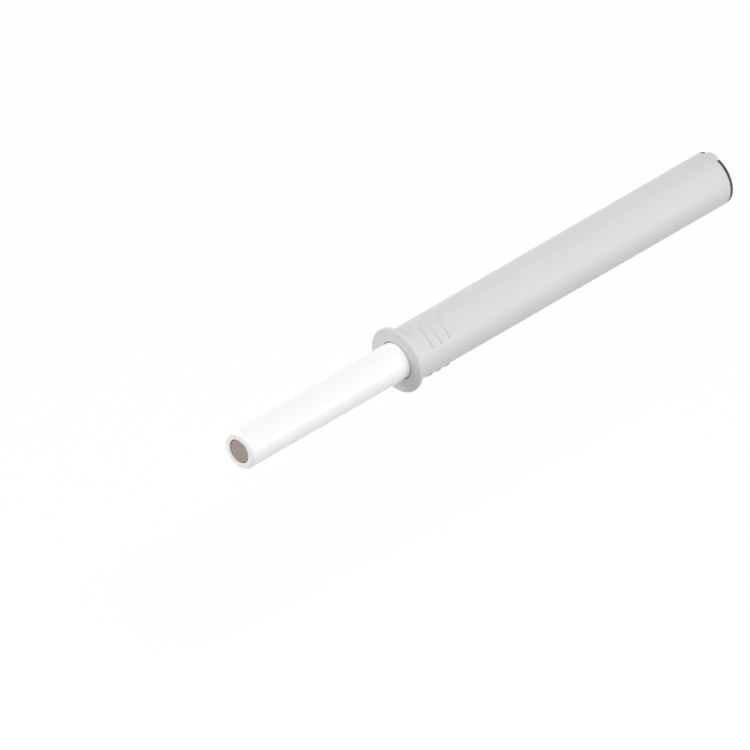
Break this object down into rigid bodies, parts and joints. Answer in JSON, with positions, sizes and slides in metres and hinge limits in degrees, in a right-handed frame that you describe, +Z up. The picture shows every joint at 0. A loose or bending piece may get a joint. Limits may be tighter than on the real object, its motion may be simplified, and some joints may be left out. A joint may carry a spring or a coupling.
{
  "type": "push to open catch",
  "caption": "Long drill-in push to open catch: barbed grey tube with thin collar, white magnet-tipped plunger sprung out, dark end cap, heart-cam latch inside.",
  "frame": {"origin": "on the catch's axis, in the rear face of the collar, which seats on the panel's edge", "axes": "+Y runs along the catch into the panel, from the plunger's tip to the end cap; +Z up, in line with the upper rear tab; +X to the right"},
  "size_m": [0.012, 0.1152, 0.012],
  "materials": {
    "grey_moulded_plastic": "fine matt moulded nylon",
    "charcoal_moulded_plastic": "matt moulded nylon",
    "white_acetal": "smooth satin acetal",
    "natural_acetal": "smooth acetal",
    "nickel_plated_magnet": "bright nickel plating on a sintered magnet",
    "spring_steel": "drawn steel wire"
  },
  "bodies": {
    "housing": {"housing": "grey_moulded_plastic", "end_cap": "charcoal_moulded_plastic", "ejector_spring": "spring_steel"},
    "slider": {"cam_slider": "natural_acetal"},
    "latch_pin": {"latch_pin": "spring_steel"},
    "magnet": {"magnet": "nickel_plated_magnet"},
    "plunger": {"plunger_sleeve": "white_acetal"}
  },
  "joints": [
    {"name": "plunger_slide", "type": "slide", "parent": "housing", "child": "slider", "axis": [0, 1, 0], "range_m": [0, 0.0375], "stiffness_N_per_m": 180, "springref_m": -0.005, "deforming": ["ejector_spring"]},
    {"name": "latch_pin_swing", "type": "hinge", "parent": "housing", "child": "latch_pin", "pos_m": [0, 0.07, 0.0032], "axis": [0, 0, 1], "range_deg": [0, 3.5]},
    {"name": "gap_travel", "type": "slide", "parent": "slider", "child": "magnet", "axis": [0, -1, 0], "range_m": [-0.001, 0.004]},
    {"name": "gap_turn", "type": "hinge", "parent": "magnet", "child": "plunger", "pos_m": [0, -0.0387, 0], "axis": [0, -1, 0], "range_deg": [-180.5, 720.5]}
  ],
  "couplings": [
    {"joint": "latch_pin_swing", "follows": "plunger_slide", "rad_per_m": 1.601},
    {"joint": "gap_turn", "follows": "gap_travel", "rad_per_m": 3141.6}
  ]
}
